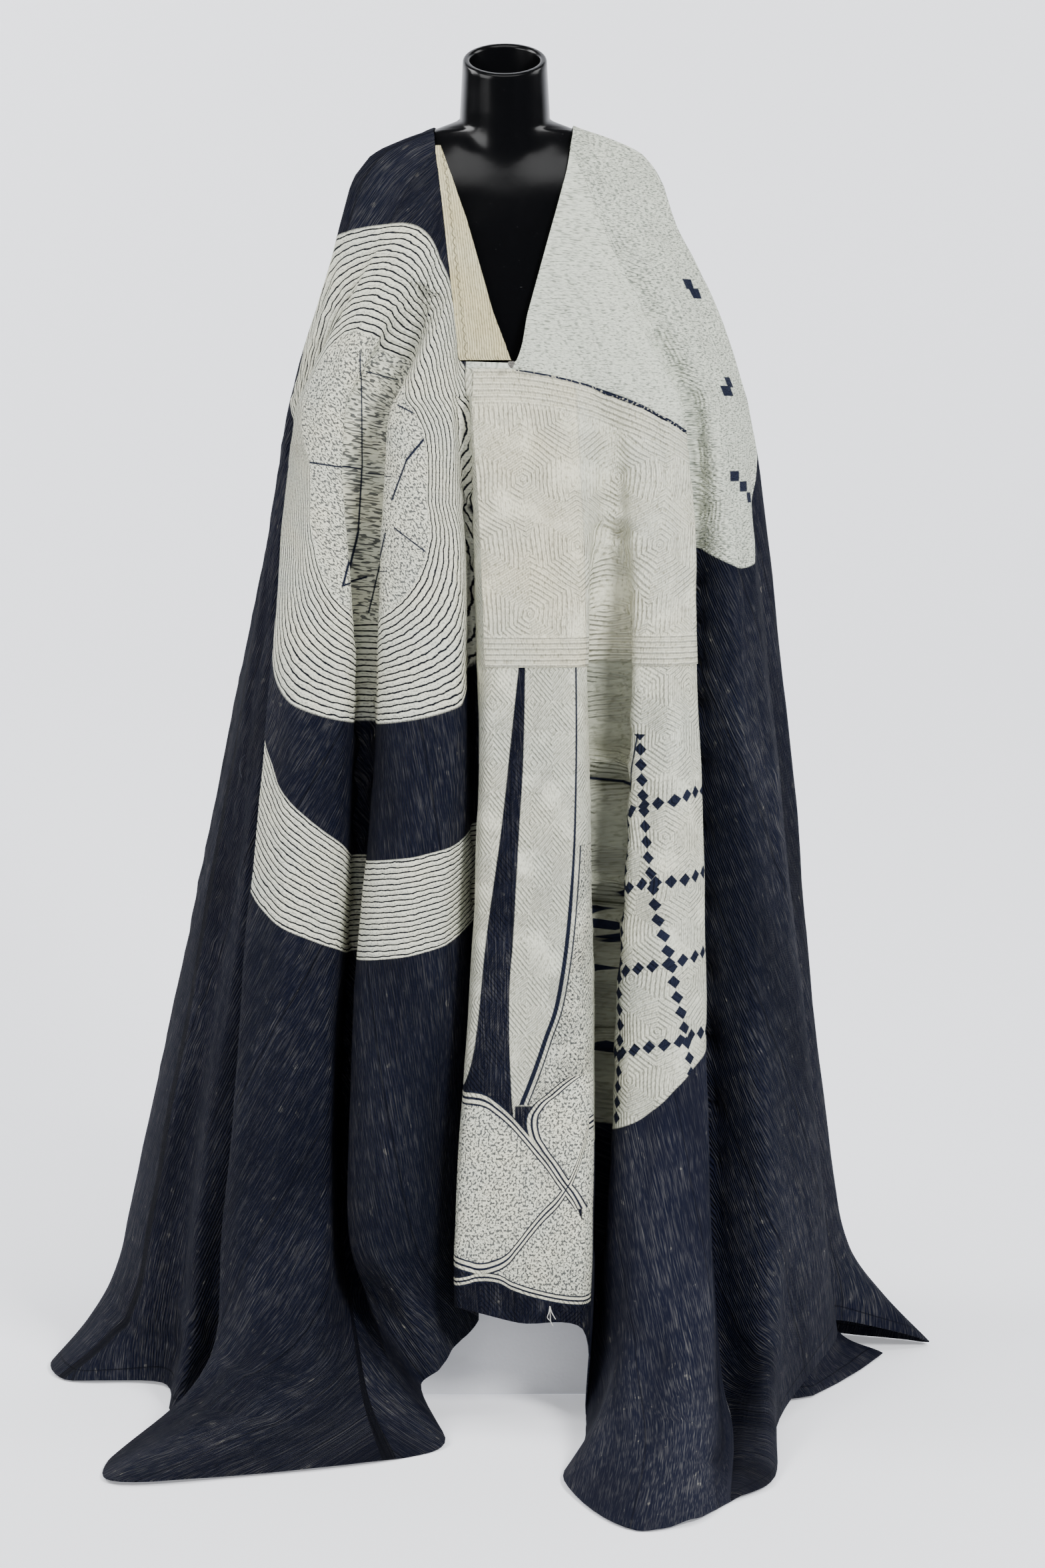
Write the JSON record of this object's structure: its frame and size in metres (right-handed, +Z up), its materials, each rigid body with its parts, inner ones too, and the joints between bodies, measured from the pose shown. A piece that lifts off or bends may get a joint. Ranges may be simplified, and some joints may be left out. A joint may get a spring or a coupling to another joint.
{
  "type": "grand boubou robe on dress form",
  "caption": "Wide floor-length robe with an embroidered front, a V neck and open sleeves, draped in deep folds over a limbless dress form on a pole and plinth.",
  "frame": {"origin": "on the floor under the middle of the dress form, at the centre of the plinth's base", "axes": "+Z up, the robe's front faces -Y, +X is the wearer's left"},
  "size_m": [1.1654, 1.1609, 1.7219],
  "materials": {
    "indigo_cloth": "matt strip-woven indigo cotton",
    "embroidered_cream": "dense cream embroidery on cotton",
    "facing_cream": "ribbed cream facing",
    "form_black": "glossy black fibreglass",
    "stand_steel": "satin steel",
    "plinth_white": "matt white paint"
  },
  "bodies": {
    "root": {"front": "indigo_cloth", "back": "indigo_cloth", "sleeve_right": "indigo_cloth", "sleeve_left": "indigo_cloth", "back_corner_left": "indigo_cloth", "pocket_panel": "embroidered_cream", "neck_facing": "facing_cream", "dress_form": "form_black", "stand_pole": "stand_steel", "stand_flange": "stand_steel", "plinth": "plinth_white"}
  },
  "joints": []
}
